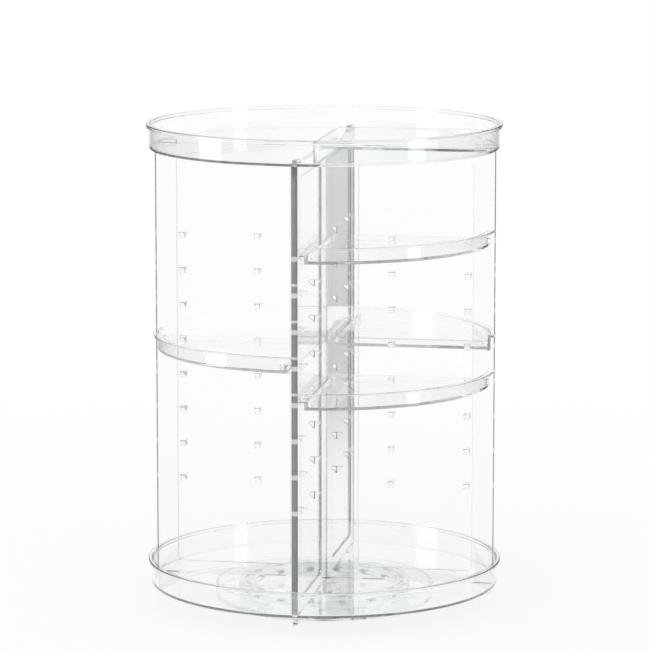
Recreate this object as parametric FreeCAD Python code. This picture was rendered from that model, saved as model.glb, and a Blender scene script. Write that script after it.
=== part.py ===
"""Clear rotating organizer: a turntable stand that carries a round bottom tray, four upright
dividers, a round top tray with a brush opening, and quarter trays that hang on nubs.

Millimetres. +Z is up, the origin is on the turning axis at the underside of the feet, and the
dividers lie along +X, +Y, -X and -Y. The front of the object faces -Y.
"""
import FreeCAD, Part
import math
import os

# ---------------------------------------------------------------- turntable stand
FOOT_COUNT = 6
FOOT_R = 5.0
FOOT_PROUD = 1.2              # how far a foot pad stands out below the base
FOOT_RECESS = 1.0             # depth of a foot pad's seat in the base
FOOT_SEAT_PLAY = 0.1
FOOT_INSET = 12.4             # from the base's edge to a foot pad's centre
FOOT_ROUND = 0.5

BASE_R = 72.4
BASE_FLOOR_T = 2.4
BASE_SKIRT_T = 2.0
BASE_SKIRT_GAP = 1.3          # below the bottom tray
BASE_EDGE_ROUND = 1.0
HUB_WALL_T = 6.0
HUB_GAP = 2.3                 # below the bottom tray
HUB_ROUND = 0.8

# ---------------------------------------------------------------- ball bearing
BALL_COUNT = 16
BALL_R = 3.0
BALL_CIRCLE_INSET = 20.4      # from the base's edge to the ring of ball centres
BALL_PLAY = 0.05              # between a ball and the bottom of its groove
GROOVE_RELIEF = 0.2           # groove radius less ball radius
GROOVE_DEPTH = 1.4
RACE_W = 10.0
RACE_WEB_T = 1.75             # plastic behind the groove
CAGE_T = 1.6
CAGE_HOLE_PLAY = 0.1

# ---------------------------------------------------------------- pivot
POST_R = 5.0
POST_PLAY = 0.05              # running fit of the post in the hub
SCREW_HEAD_R = 3.5
SCREW_HEAD_H = 1.1
SCREW_HEAD_SHY = 0.05         # head above the base's underside
SCREW_SHAFT_R = 1.25
SCREW_BITE = 8.0              # length of the screw inside the post
SCREW_SLOT_W = 0.8
SCREW_SLOT_L = 4.0
SCREW_SLOT_DEPTH = 0.6
PILOT_PLAY = 0.05
PILOT_SPARE = 1.0             # hole beyond the screw's end
WASHER_R = 8.0
WASHER_T = 1.0
WASHER_PLAY = 0.1             # washer to the face above it
WASHER_RIM_PLAY = 0.5         # washer to the wall of its recess
WASHER_HOLE_PLAY = 0.1

# ---------------------------------------------------------------- round trays
TRAY_R = 115.2
TRAY_WALL_T = 1.5
TRAY_FLOOR_T = 1.5
TRAY_H = 16.6
TRAY_LIP_OUT = 2.1
TRAY_LIP_T = 2.4
TRAY_LIP_ROUND = 0.7
TRAY_OUTER_ROUND = 1.2
TRAY_INNER_ROUND = 0.8

# ---------------------------------------------------------------- brush opening
COLLAR_SIDE = 10.5            # from a divider's middle to the collar's outer face
COLLAR_MOAT = 3.7             # between the collar and the tray's wall
COLLAR_T = 1.6
COLLAR_SHY = 1.7              # collar's top below the tray's rim
COLLAR_CORNER_R = 6.0
COLLAR_TOP_ROUND = 0.5

# ---------------------------------------------------------------- dividers
DIVIDER_H = 288.7
DIVIDER_END_PLAY = 0.2        # end of a divider to the tray's wall
DIVIDER_MITRE_PLAY = 0.1      # between the mitred inner ends
DIVIDER_CORNER_PLAY = 0.2     # outer corner beyond the tray's inner round
PANEL_T = 2.4
BORDER_T = 4.0
BORDER_OUTER_W = 14.3
BORDER_INNER_W = 23.0
BORDER_END_H = 8.0
POCKET_CORNER_R = 3.0
TAB_T = 3.0
OUTER_TAB_W = 12.5
OUTER_TAB_INSET = 1.5         # from the divider's outer end
OUTER_TAB_DROP = 5.8          # below the bottom tray's floor
OUTER_TAB_RISE = 2.2          # above the top tray's floor
OUTER_TAB_ROUND = 1.0
INNER_TAB_W = 14.0
INNER_TAB_START = 26.0
INNER_TAB_SHY = 0.2
SLOT_PLAY = 0.15

# ---------------------------------------------------------------- nubs on the dividers
NUB_LEVELS = 8
NUB_FIRST = 66.9              # lowest nub tops above the bottom tray's floor
NUB_PITCH = 23.4
NUB_REACH = 3.8               # out of the panel's face
NUB_W = 4.0
NUB_H = 5.0
NUB_TIP_H = 1.0
NUB_BORDER_GAP = 1.6          # outer nubs to the raised border
NUB_INNER_AT = 45.0           # inner nubs from the axis

# ---------------------------------------------------------------- quarter trays
QUARTER_H = 10.4
QUARTER_HANG = 4.5            # depth of the basin below the nub tops
QUARTER_SEAT_PLAY = 0.2
QUARTER_SIDE_PLAY = 0.4       # basin to the nubs, and flange to the dividers
QUARTER_WALL_T = 1.6
QUARTER_FLOOR_T = 2.0
QUARTER_FLANGE_T = 1.0
QUARTER_LIP_OUT = 2.7
QUARTER_LIP_T = 1.6
QUARTER_LIP_SHY = 0.3         # lip inside the dividers' ends
QUARTER_CORNER_R = 6.0
QUARTER_BOTTOM_ROUND = 1.0
QUARTER_LIP_ROUND = 0.5

# Each quarter tray: its node, the sector it hangs in, and its nub level counted from the top.
QUARTER_TRAYS = (
    ("tray_front_right_upper", "front_right", 0),
    ("tray_front_right_lower", "front_right", 4),
    ("tray_front_left", "front_left", 3),
    ("tray_back_right", "back_right", 3),
)
# A sector is the quarter between two dividers, turned from the quarter of +X and +Y.
SECTOR_TURN = {"back_right": 0.0, "back_left": 90.0, "front_left": 180.0, "front_right": 270.0}
DIVIDER_TURN = {"right": 0.0, "back": 90.0, "left": 180.0, "front": 270.0}
BRUSH_SECTOR = "front_right"

# ---------------------------------------------------------------- heights, from the ground up
BASE_Z = FOOT_PROUD
BASE_TOP_Z = BASE_Z + BASE_FLOOR_T
BALL_Z = BASE_TOP_Z + RACE_WEB_T + BALL_PLAY + BALL_R
TRAY_Z = BALL_Z + BALL_R + BALL_PLAY + RACE_WEB_T
DIVIDER_Z = TRAY_Z + TRAY_FLOOR_T
TOP_TRAY_Z = DIVIDER_Z + DIVIDER_H
WASHER_Z = BASE_Z + SCREW_HEAD_SHY + SCREW_HEAD_H
POST_END_Z = WASHER_Z + WASHER_T

# ---------------------------------------------------------------- radii and faces, from the wall in
BALL_CIRCLE_R = BASE_R - BALL_CIRCLE_INSET
TRAY_INNER_R = TRAY_R - TRAY_WALL_T
DIVIDER_END_R = TRAY_INNER_R - DIVIDER_END_PLAY
POCKET_OUTER_R = DIVIDER_END_R - BORDER_OUTER_W
NUB_TIP = PANEL_T / 2 + NUB_REACH
NUB_OUTER_AT = POCKET_OUTER_R - NUB_BORDER_GAP - NUB_W / 2
QUARTER_LIP_R = DIVIDER_END_R - QUARTER_LIP_SHY
QUARTER_R = QUARTER_LIP_R - QUARTER_LIP_OUT
QUARTER_SIDE = NUB_TIP + QUARTER_SIDE_PLAY
QUARTER_FLANGE_SIDE = BORDER_T / 2 + QUARTER_SIDE_PLAY
HUB_BORE_R = POST_R + POST_PLAY
HUB_R = HUB_BORE_R + HUB_WALL_T

AXIS = FreeCAD.Vector(0, 0, 1)
CENTRE = FreeCAD.Vector(0, 0, 0)


# ---------------------------------------------------------------- helpers
def rounded_wire(corners):
    """Closed wire in the XZ plane through corners (x, z, radius), each rounded by its radius."""
    points = [FreeCAD.Vector(x, 0, z) for x, z, _ in corners]
    edges = []
    starts = []
    ends = []
    for i, (_, _, radius) in enumerate(corners):
        here = points[i]
        back = (points[i - 1] - here).normalize()
        on = (points[(i + 1) % len(points)] - here).normalize()
        half = back.getAngle(on) / 2
        reach = radius / math.tan(half)
        starts.append(here + back * reach)
        ends.append(here + on * reach)
        if radius > 0:
            bisector = (back + on).normalize()
            middle = here + bisector * (radius / math.sin(half) - radius)
            edges.append(Part.Arc(starts[i], middle, ends[i]).toShape())
    for i, end in enumerate(ends):
        start = starts[(i + 1) % len(starts)]
        if end.distanceToPoint(start) > 1e-6:
            edges.append(Part.LineSegment(end, start).toShape())
    return Part.Wire(Part.__sortEdges__(edges))


def turned(corners):
    """Solid of revolution about Z from a rounded section given as (radius, z, rounding)."""
    return Part.Face(rounded_wire(corners)).revolve(CENTRE, AXIS, 360)


def cylinder(radius, z0, z1, x=0.0, y=0.0):
    return Part.makeCylinder(radius, z1 - z0, FreeCAD.Vector(x, y, z0))


def block(x0, x1, y0, y1, z0, z1):
    return Part.makeBox(x1 - x0, y1 - y0, z1 - z0, FreeCAD.Vector(x0, y0, z0))


def about_axis(shape, degrees):
    """Copy of a shape turned about the object's axis."""
    copy = shape.copy()
    copy.rotate(CENTRE, AXIS, degrees)
    return copy


def on_circle(radius, count):
    """Points evenly spaced on a circle about the axis."""
    steps = [2 * math.pi * i / count for i in range(count)]
    return [(radius * math.cos(a), radius * math.sin(a)) for a in steps]


def upright_edges(shape):
    """Straight edges that run along Z."""
    found = []
    for edge in shape.Edges:
        if isinstance(edge.Curve, Part.Line) and abs(abs(edge.tangentAt(0).z) - 1) < 1e-6:
            found.append(edge)
    return found


def edges_at(shape, z):
    """Edges that lie level at height z."""
    return [e for e in shape.Edges if abs(e.BoundBox.ZMin - z) < 1e-6 and abs(e.BoundBox.ZMax - z) < 1e-6]


def quarter_prism(side, radius, z0, z1):
    """Prism over the quarter of +X and +Y, `side` away from both divider planes."""
    return cylinder(radius, z0, z1).common(block(side, radius, side, radius, z0, z1))


def rounded_quarter(side, radius, z0, z1, corner_r):
    """Quarter prism with all three upright edges rounded."""
    prism = quarter_prism(side, radius, z0, z1)
    return prism.makeFillet(corner_r, upright_edges(prism))


def point_rounded_quarter(side, radius, z0, z1, corner_r):
    """Quarter prism with only the upright edge next to the axis rounded."""
    prism = quarter_prism(side, radius, z0, z1)
    near = [e for e in upright_edges(prism) if math.hypot(*e.valueAt(0)[:2]) < radius / 2]
    return prism.makeFillet(corner_r, near)


def in_sector(shape, sector):
    return about_axis(shape, SECTOR_TURN[sector])


def nub_top(steps_down):
    """Height of a level of nub tops, counted from the highest."""
    level = NUB_LEVELS - 1 - steps_down
    return DIVIDER_Z + NUB_FIRST + NUB_PITCH * level


# ---------------------------------------------------------------- turntable stand
def foot_places():
    return on_circle(BASE_R - FOOT_INSET, FOOT_COUNT)


def make_foot_pad(x, y):
    pad = turned([
        (0, 0, 0),
        (FOOT_R, 0, FOOT_ROUND),
        (FOOT_R, FOOT_PROUD + FOOT_RECESS, 0),
        (0, FOOT_PROUD + FOOT_RECESS, 0),
    ])
    pad.translate(FreeCAD.Vector(x, y, 0))
    return pad


def make_turntable_base():
    """Flat disc with a low skirt, a hub for the post and seats for the foot pads."""
    recess_r = WASHER_R + WASHER_RIM_PLAY
    recess_top = POST_END_Z + WASHER_PLAY
    hub_top = TRAY_Z - HUB_GAP
    skirt_top = TRAY_Z - BASE_SKIRT_GAP
    skirt_r = BASE_R - BASE_SKIRT_T
    skirt_round = BASE_SKIRT_T / 3
    base = turned([
        (recess_r, BASE_Z, 0),
        (recess_r, recess_top, 0),
        (HUB_BORE_R, recess_top, 0),
        (HUB_BORE_R, hub_top, 0),
        (HUB_R, hub_top, HUB_ROUND),
        (HUB_R, BASE_TOP_Z, HUB_ROUND),
        (skirt_r, BASE_TOP_Z, BASE_EDGE_ROUND),
        (skirt_r, skirt_top, skirt_round),
        (BASE_R, skirt_top, skirt_round),
        (BASE_R, BASE_Z, BASE_EDGE_ROUND),
    ])
    seat_r = FOOT_R + FOOT_SEAT_PLAY
    seats = [cylinder(seat_r, 0, BASE_Z + FOOT_RECESS, x, y) for x, y in foot_places()]
    return base.cut(seats)


def make_race(flat_z, groove_z):
    """Flat ring with a ball groove; flat_z is its plain face, groove_z the groove's deepest line."""
    groove_side = math.copysign(1.0, groove_z - flat_z)
    mouth_z = groove_z + groove_side * GROOVE_DEPTH
    inner_r = BALL_CIRCLE_R - RACE_W / 2
    outer_r = BALL_CIRCLE_R + RACE_W / 2
    ring = cylinder(outer_r, min(flat_z, mouth_z), max(flat_z, mouth_z))
    ring = ring.cut(cylinder(inner_r, min(flat_z, mouth_z), max(flat_z, mouth_z)))
    groove_r = BALL_R + GROOVE_RELIEF
    groove_centre = FreeCAD.Vector(0, 0, groove_z + groove_side * groove_r)
    return ring.cut(Part.makeTorus(BALL_CIRCLE_R, groove_r, groove_centre))


def make_balls():
    centres = on_circle(BALL_CIRCLE_R, BALL_COUNT)
    return Part.Compound([Part.makeSphere(BALL_R, FreeCAD.Vector(x, y, BALL_Z)) for x, y in centres])


def make_cage():
    low = BALL_Z - CAGE_T / 2
    high = BALL_Z + CAGE_T / 2
    ring = cylinder(BALL_CIRCLE_R + RACE_W / 2, low, high)
    ring = ring.cut(cylinder(BALL_CIRCLE_R - RACE_W / 2, low, high))
    hole_r = BALL_R + CAGE_HOLE_PLAY
    return ring.cut([cylinder(hole_r, low, high, x, y) for x, y in on_circle(BALL_CIRCLE_R, BALL_COUNT)])


# ---------------------------------------------------------------- pivot
def make_washer():
    washer = cylinder(WASHER_R, WASHER_Z, POST_END_Z)
    return washer.cut(cylinder(SCREW_SHAFT_R + WASHER_HOLE_PLAY, WASHER_Z, POST_END_Z))


def make_screw():
    """Pan head under the washer, shaft up into the post, and a cross slot in the head."""
    head_z = WASHER_Z - SCREW_HEAD_H
    screw = turned([
        (0, head_z, 0),
        (SCREW_HEAD_R, head_z, SCREW_HEAD_H / 3),
        (SCREW_HEAD_R, WASHER_Z, 0),
        (SCREW_SHAFT_R, WASHER_Z, 0),
        (SCREW_SHAFT_R, POST_END_Z + SCREW_BITE, 0),
        (0, POST_END_Z + SCREW_BITE, 0),
    ])
    slot = block(-SCREW_SLOT_L / 2, SCREW_SLOT_L / 2, -SCREW_SLOT_W / 2, SCREW_SLOT_W / 2,
                 head_z, head_z + SCREW_SLOT_DEPTH)
    return screw.cut([slot, about_axis(slot, 90)])


# ---------------------------------------------------------------- round trays
def round_tray(z):
    """Shallow round tray with a lip that turns outward, its floor's underside at z."""
    rim_z = z + TRAY_H
    lip_r = TRAY_R + TRAY_LIP_OUT
    return turned([
        (0, z, 0),
        (TRAY_R, z, TRAY_OUTER_ROUND),
        (TRAY_R, rim_z - TRAY_LIP_T, 0),
        (lip_r, rim_z - TRAY_LIP_T, TRAY_LIP_ROUND),
        (lip_r, rim_z, TRAY_LIP_ROUND),
        (TRAY_INNER_R, rim_z, TRAY_WALL_T / 3),
        (TRAY_INNER_R, z + TRAY_FLOOR_T, TRAY_INNER_ROUND),
        (0, z + TRAY_FLOOR_T, 0),
    ])


def tab_block(start_r, width, z0, z1, play=0.0):
    """Block for a tab along +X, or for its slot when it is given play."""
    half_t = TAB_T / 2 + play
    return block(start_r - play, start_r + width + play, -half_t, half_t, z0, z1)


def tab_slots(z):
    """Slots for every divider's tabs through a tray floor that starts at z."""
    floor_top = z + TRAY_FLOOR_T
    outer = tab_block(outer_tab_start(), OUTER_TAB_W, z, floor_top, SLOT_PLAY)
    inner = tab_block(INNER_TAB_START, INNER_TAB_W, z, floor_top, SLOT_PLAY)
    return [about_axis(slot, turn) for slot in (outer, inner) for turn in DIVIDER_TURN.values()]


def make_bottom_tray():
    tray = round_tray(TRAY_Z).cut(tab_slots(TRAY_Z))
    tray = tray.fuse(cylinder(POST_R, POST_END_Z, TRAY_Z))
    pilot_top = POST_END_Z + SCREW_BITE + PILOT_SPARE
    return tray.cut(cylinder(SCREW_SHAFT_R + PILOT_PLAY, POST_END_Z, pilot_top)).removeSplitter()


def make_top_tray():
    """Round tray with a collared opening for brushes in one quarter."""
    collar_r = TRAY_INNER_R - COLLAR_MOAT
    collar_top = TOP_TRAY_Z + TRAY_H - COLLAR_SHY
    collar = rounded_quarter(COLLAR_SIDE, collar_r, TOP_TRAY_Z, collar_top, COLLAR_CORNER_R)
    collar = collar.makeFillet(COLLAR_TOP_ROUND, edges_at(collar, collar_top))
    opening = rounded_quarter(COLLAR_SIDE + COLLAR_T, collar_r - COLLAR_T, TOP_TRAY_Z, collar_top,
                              COLLAR_CORNER_R - COLLAR_T)
    tray = round_tray(TOP_TRAY_Z).cut(tab_slots(TOP_TRAY_Z))
    tray = tray.fuse(in_sector(collar, BRUSH_SECTOR))
    return tray.cut(in_sector(opening, BRUSH_SECTOR)).removeSplitter()


# ---------------------------------------------------------------- dividers
def outer_tab_start():
    return DIVIDER_END_R - OUTER_TAB_INSET - OUTER_TAB_W


def divider_body():
    """Upright panel along +X, mitred at the axis, with its outer corners cut off."""
    half_t = BORDER_T / 2
    tip = DIVIDER_MITRE_PLAY / 2 * math.sqrt(2)
    corner = TRAY_INNER_ROUND + DIVIDER_CORNER_PLAY
    plan = Part.makePolygon([
        FreeCAD.Vector(tip, 0, DIVIDER_Z),
        FreeCAD.Vector(tip + half_t, -half_t, DIVIDER_Z),
        FreeCAD.Vector(DIVIDER_END_R, -half_t, DIVIDER_Z),
        FreeCAD.Vector(DIVIDER_END_R, half_t, DIVIDER_Z),
        FreeCAD.Vector(tip + half_t, half_t, DIVIDER_Z),
        FreeCAD.Vector(tip, 0, DIVIDER_Z),
    ])
    body = Part.Face(plan).extrude(FreeCAD.Vector(0, 0, DIVIDER_H))
    outline = rounded_wire([
        (0, DIVIDER_Z, 0),
        (DIVIDER_END_R, DIVIDER_Z, corner),
        (DIVIDER_END_R, TOP_TRAY_Z, corner),
        (0, TOP_TRAY_Z, 0),
    ])
    outline.translate(FreeCAD.Vector(0, -half_t, 0))
    return body.common(Part.Face(outline).extrude(FreeCAD.Vector(0, BORDER_T, 0)))


def panel_pockets():
    """Shallow pockets in both faces that leave the thin panel inside its raised border."""
    depth = (BORDER_T - PANEL_T) / 2
    outline = rounded_wire([
        (BORDER_INNER_W, DIVIDER_Z + BORDER_END_H, POCKET_CORNER_R),
        (POCKET_OUTER_R, DIVIDER_Z + BORDER_END_H, POCKET_CORNER_R),
        (POCKET_OUTER_R, TOP_TRAY_Z - BORDER_END_H, POCKET_CORNER_R),
        (BORDER_INNER_W, TOP_TRAY_Z - BORDER_END_H, POCKET_CORNER_R),
    ])
    pocket = Part.Face(outline).extrude(FreeCAD.Vector(0, depth, 0))
    pocket.translate(FreeCAD.Vector(0, PANEL_T / 2, 0))
    return [pocket, pocket.mirror(CENTRE, FreeCAD.Vector(0, 1, 0))]


def nub(at_r, top_z):
    """Gusset with a flat top and a sloping underside, on the +Y face of a divider along +X."""
    root = PANEL_T / 2
    side = Part.makePolygon([
        FreeCAD.Vector(at_r - NUB_W / 2, root, top_z),
        FreeCAD.Vector(at_r - NUB_W / 2, NUB_TIP, top_z),
        FreeCAD.Vector(at_r - NUB_W / 2, NUB_TIP, top_z - NUB_TIP_H),
        FreeCAD.Vector(at_r - NUB_W / 2, root, top_z - NUB_H),
        FreeCAD.Vector(at_r - NUB_W / 2, root, top_z),
    ])
    return Part.Face(side).extrude(FreeCAD.Vector(NUB_W, 0, 0))


def divider_nubs():
    nubs = []
    for step in range(NUB_LEVELS):
        for at_r in (NUB_INNER_AT, NUB_OUTER_AT):
            one = nub(at_r, nub_top(step))
            nubs.append(one)
            nubs.append(one.mirror(CENTRE, FreeCAD.Vector(0, 1, 0)))
    return nubs


def divider_tabs():
    """Tabs at both ends: long ones near the tray walls, short ones near the axis."""
    low_end = TRAY_Z - OUTER_TAB_DROP
    high_end = TOP_TRAY_Z + TRAY_FLOOR_T + OUTER_TAB_RISE
    outer = [
        tab_block(outer_tab_start(), OUTER_TAB_W, low_end, DIVIDER_Z),
        tab_block(outer_tab_start(), OUTER_TAB_W, TOP_TRAY_Z, high_end),
    ]
    rounded = []
    for tab, end in zip(outer, (low_end, high_end)):
        corners = [e for e in edges_at(tab, end) if abs(e.tangentAt(0).y) > 0.5]
        rounded.append(tab.makeFillet(OUTER_TAB_ROUND, corners))
    inner_depth = TRAY_FLOOR_T - INNER_TAB_SHY
    inner = [
        tab_block(INNER_TAB_START, INNER_TAB_W, DIVIDER_Z - inner_depth, DIVIDER_Z),
        tab_block(INNER_TAB_START, INNER_TAB_W, TOP_TRAY_Z, TOP_TRAY_Z + inner_depth),
    ]
    return rounded + inner


def make_divider():
    body = divider_body().cut(panel_pockets())
    return body.fuse(divider_tabs() + divider_nubs()).removeSplitter()


# ---------------------------------------------------------------- quarter trays
def outer_edge_at(shape, z, radius):
    """Level round edges of one radius at height z."""
    return [e for e in edges_at(shape, z)
            if isinstance(e.Curve, Part.Circle) and abs(e.Curve.Radius - radius) < 1e-6]


def curved_front(bottom_z, rim_z, inner_r):
    """Curved wall of a quarter tray, nearly from divider to divider, with a lip at its rim."""
    wall = quarter_prism(QUARTER_FLANGE_SIDE, QUARTER_R, bottom_z, rim_z)
    wall = wall.cut(cylinder(inner_r, bottom_z, rim_z))
    wall = wall.makeFillet(QUARTER_BOTTOM_ROUND, outer_edge_at(wall, bottom_z, QUARTER_R))
    lip_z = rim_z - QUARTER_LIP_T
    lip = quarter_prism(QUARTER_FLANGE_SIDE, QUARTER_LIP_R, lip_z, rim_z).cut(cylinder(inner_r, lip_z, rim_z))
    lip_edges = outer_edge_at(lip, lip_z, QUARTER_LIP_R) + outer_edge_at(lip, rim_z, QUARTER_LIP_R)
    return [wall, lip.makeFillet(QUARTER_LIP_ROUND, lip_edges)]


def make_quarter_tray(top_z):
    """Quarter basin whose side flanges hang on nubs that end at top_z, with a higher curved front."""
    bottom_z = top_z - QUARTER_HANG
    rim_z = bottom_z + QUARTER_H
    flange_z = top_z + QUARTER_SEAT_PLAY
    flange_top = flange_z + QUARTER_FLANGE_T
    inner_r = QUARTER_R - QUARTER_WALL_T

    basin = point_rounded_quarter(QUARTER_SIDE, QUARTER_R, bottom_z, flange_top, QUARTER_CORNER_R)
    basin = basin.makeFillet(QUARTER_BOTTOM_ROUND, edges_at(basin, bottom_z))
    flange_corner = QUARTER_CORNER_R + QUARTER_SIDE - QUARTER_FLANGE_SIDE
    flange = point_rounded_quarter(QUARTER_FLANGE_SIDE, QUARTER_R, flange_z, flange_top, flange_corner)
    hollow = rounded_quarter(QUARTER_SIDE + QUARTER_WALL_T, inner_r, bottom_z + QUARTER_FLOOR_T,
                             rim_z, QUARTER_CORNER_R - QUARTER_WALL_T)
    solid = basin.fuse([flange] + curved_front(bottom_z, rim_z, inner_r))
    return solid.cut(hollow).removeSplitter()


# ---------------------------------------------------------------- every node
def build():
    """Every piece of the object, by node name."""
    nodes = {}
    for i, (x, y) in enumerate(foot_places(), start=1):
        nodes[f"foot_pad_{i}"] = make_foot_pad(x, y)
    nodes["turntable_base"] = make_turntable_base()
    nodes["lower_race"] = make_race(BASE_TOP_Z, BASE_TOP_Z + RACE_WEB_T)
    nodes["upper_race"] = make_race(TRAY_Z, TRAY_Z - RACE_WEB_T)
    nodes["bearing_balls"] = make_balls()
    nodes["ball_cage"] = make_cage()
    nodes["pivot_washer"] = make_washer()
    nodes["pivot_screw"] = make_screw()
    nodes["bottom_tray"] = make_bottom_tray()
    nodes["top_tray"] = make_top_tray()
    divider = make_divider()
    for name, turn in DIVIDER_TURN.items():
        nodes[f"divider_{name}"] = about_axis(divider, turn)
    for name, sector, steps_down in QUARTER_TRAYS:
        nodes[name] = in_sector(make_quarter_tray(nub_top(steps_down)), sector)
    return nodes


def main():
    os.makedirs("parts", exist_ok=True)
    for name, shape in build().items():
        shape.exportStep(f"parts/{name}.step")
        box = shape.BoundBox
        print(f"{name:24s} solids {len(shape.Solids)} valid {shape.isValid()} "
              f"volume {shape.Volume / 1000:8.3f} cm3 z {box.ZMin:7.2f} to {box.ZMax:7.2f}")


main()
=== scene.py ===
"""Visual model of a clear rotating organizer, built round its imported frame.

Metres, +Z up, turning axis on the Z axis, front towards -Y. Each sub-assembly is a class that holds
its sizes and builds, dresses and mounts its own pieces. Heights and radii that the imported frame
gives are read from it.
"""
import logging
import math
from contextlib import contextmanager
from dataclasses import dataclass, field
from enum import Enum
from typing import Callable, Iterator, NamedTuple, Sequence

import bmesh
import bpy
from bpy.types import Material, Node, NodeSocket, NodeTree, Object
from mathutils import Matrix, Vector


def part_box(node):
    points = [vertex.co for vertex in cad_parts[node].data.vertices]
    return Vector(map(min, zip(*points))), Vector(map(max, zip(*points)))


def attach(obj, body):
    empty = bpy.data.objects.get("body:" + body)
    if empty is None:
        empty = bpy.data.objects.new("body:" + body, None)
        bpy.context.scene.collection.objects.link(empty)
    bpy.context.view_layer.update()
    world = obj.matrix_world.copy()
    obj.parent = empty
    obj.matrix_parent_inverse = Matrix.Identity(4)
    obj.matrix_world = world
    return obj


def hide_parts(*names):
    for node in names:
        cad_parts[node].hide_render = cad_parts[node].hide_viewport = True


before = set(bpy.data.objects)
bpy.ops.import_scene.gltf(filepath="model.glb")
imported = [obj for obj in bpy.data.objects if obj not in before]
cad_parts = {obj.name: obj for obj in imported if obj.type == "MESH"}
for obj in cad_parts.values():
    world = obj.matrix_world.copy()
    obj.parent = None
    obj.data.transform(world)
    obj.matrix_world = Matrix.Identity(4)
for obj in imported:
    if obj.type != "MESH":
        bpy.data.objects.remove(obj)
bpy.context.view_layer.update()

log = logging.getLogger("organizer")


def mm(value: float) -> float:
    """Millimetres as metres."""
    return value / 1000


MERGE = mm(0.002)                # points nearer than this are one point
SEAT_AIR = mm(0.05)              # air left between two clear pieces that rest on each other
OVERLAP = mm(1)                  # how far a part reaches into the one that it is welded to
ROUND_FACETS = 224               # facets round a full circle
FILLET_FACETS = 5                # facets in a rounded corner
OUTLINE_FACETS = 8               # facets in a wide corner of a quarter's outline
EDGE_FACETS = 2                  # facets in a fine edge radius
SOFT_FACETS = 3                  # facets in a rounded edge that is seen from near
GROOVE_FACETS = 12               # facets across a ball groove
ROD_FACETS = 48                  # facets round a small hole
FLAT_ANGLE = math.radians(0.05)  # faces that meet flatter than this are one face
EDGE_ANGLE = math.radians(50)    # edges sharper than this get their mould radius
CREASE_ANGLE = math.radians(40)  # edges sharper than this stay sharp in the shading
SQUARE_ON = 0.9                  # part of a normal along an axis above which the face looks that way
CM3_PER_M3 = 1e6                 # cubic centimetres in a cubic metre
CAMERA_AZIMUTH = 9.6             # the camera's side in degrees; the lamps are set out from it


# ------------------------------------------------------------------ options
class Sector(Enum):
    """A quarter between two dividers, as degrees from the quarter of +X and +Y."""

    BACK_RIGHT = 0
    BACK_LEFT = 90
    FRONT_LEFT = 180
    FRONT_RIGHT = 270


class Side(Enum):
    """The way a divider points from the axis, as degrees from +X."""

    RIGHT = 0
    BACK = 90
    LEFT = 180
    FRONT = 270


class Weld(Enum):
    """How one solid acts on another."""

    JOIN = "UNION"
    CUT = "DIFFERENCE"


class Body(Enum):
    """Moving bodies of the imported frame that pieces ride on, apart from the quarter trays' own."""

    STAND = "stand"
    BEARING = "bearing"
    CAROUSEL = "carousel"


class Corner(NamedTuple):
    """A corner of a turned section: distance from the axis, height and rounding."""

    r: float
    z: float
    rounding: float = 0.0


# ------------------------------------------------------------------ bench work
def pick_only(*pieces: Object) -> None:
    """Select these objects alone and make the first one active.

    Args:
        *pieces: the objects to select.
    """
    bpy.ops.object.select_all(action="DESELECT")
    for piece in pieces:
        piece.select_set(True)
    bpy.context.view_layer.objects.active = pieces[0]


@contextmanager
def editing(piece: Object, everything: bool = False) -> Iterator[None]:
    """Open a piece in edit mode and close it again.

    Args:
        piece: the object to edit.
        everything: start with all of it selected, and otherwise with nothing.

    Yields:
        Nothing; the piece is in edit mode meanwhile.
    """
    pick_only(piece)
    bpy.ops.object.mode_set(mode="EDIT")
    bpy.ops.mesh.select_mode(type="VERT")
    bpy.ops.mesh.select_all(action="SELECT" if everything else "DESELECT")
    yield
    bpy.ops.object.mode_set(mode="OBJECT")


@contextmanager
def picking(piece: Object, kind: str) -> Iterator[bmesh.types.BMesh]:
    """In edit mode, deselect all and hand out the mesh for a selection of one kind.

    Args:
        piece: the object that is open in edit mode.
        kind: VERT, EDGE or FACE.

    Yields:
        The mesh, whose selection is taken over afterwards.
    """
    bpy.ops.mesh.select_mode(type=kind)
    bpy.ops.mesh.select_all(action="DESELECT")
    mesh = bmesh.from_edit_mesh(piece.data)
    yield mesh
    bmesh.update_edit_mesh(piece.data)


def pick_points(piece: Object, test: Callable[[Vector], bool]) -> None:
    """In edit mode, select the points whose place passes a test.

    Args:
        piece: the object that is open in edit mode.
        test: says of a point's place whether it is picked.
    """
    with picking(piece, "VERT") as mesh:
        for vert in mesh.verts:
            if test(vert.co):
                vert.select_set(True)
        mesh.select_flush(True)


def pick_edges(piece: Object, test: Callable[[Vector, Vector], bool]) -> None:
    """In edit mode, select the edges whose two ends pass a test.

    Args:
        piece: the object that is open in edit mode.
        test: says of an edge's two ends whether it is picked.
    """
    with picking(piece, "EDGE") as mesh:
        for edge in mesh.edges:
            if test(edge.verts[0].co, edge.verts[1].co):
                edge.select_set(True)


def pick_faces(piece: Object, test: Callable[[Vector, Vector], bool]) -> None:
    """In edit mode, select the faces whose middle and normal pass a test.

    Args:
        piece: the object that is open in edit mode.
        test: says of a face's middle and normal whether it is picked.
    """
    with picking(piece, "FACE") as mesh:
        for face in mesh.faces:
            if test(face.calc_center_median(), face.normal):
                face.select_set(True)


def close_up() -> None:
    """In edit mode, merge doubled points, drop loose ones and turn every face outwards."""
    bpy.ops.mesh.select_all(action="SELECT")
    bpy.ops.mesh.remove_doubles(threshold=MERGE)
    bpy.ops.mesh.delete_loose()
    bpy.ops.mesh.select_all(action="SELECT")
    bpy.ops.mesh.normals_make_consistent(inside=False)


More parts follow.
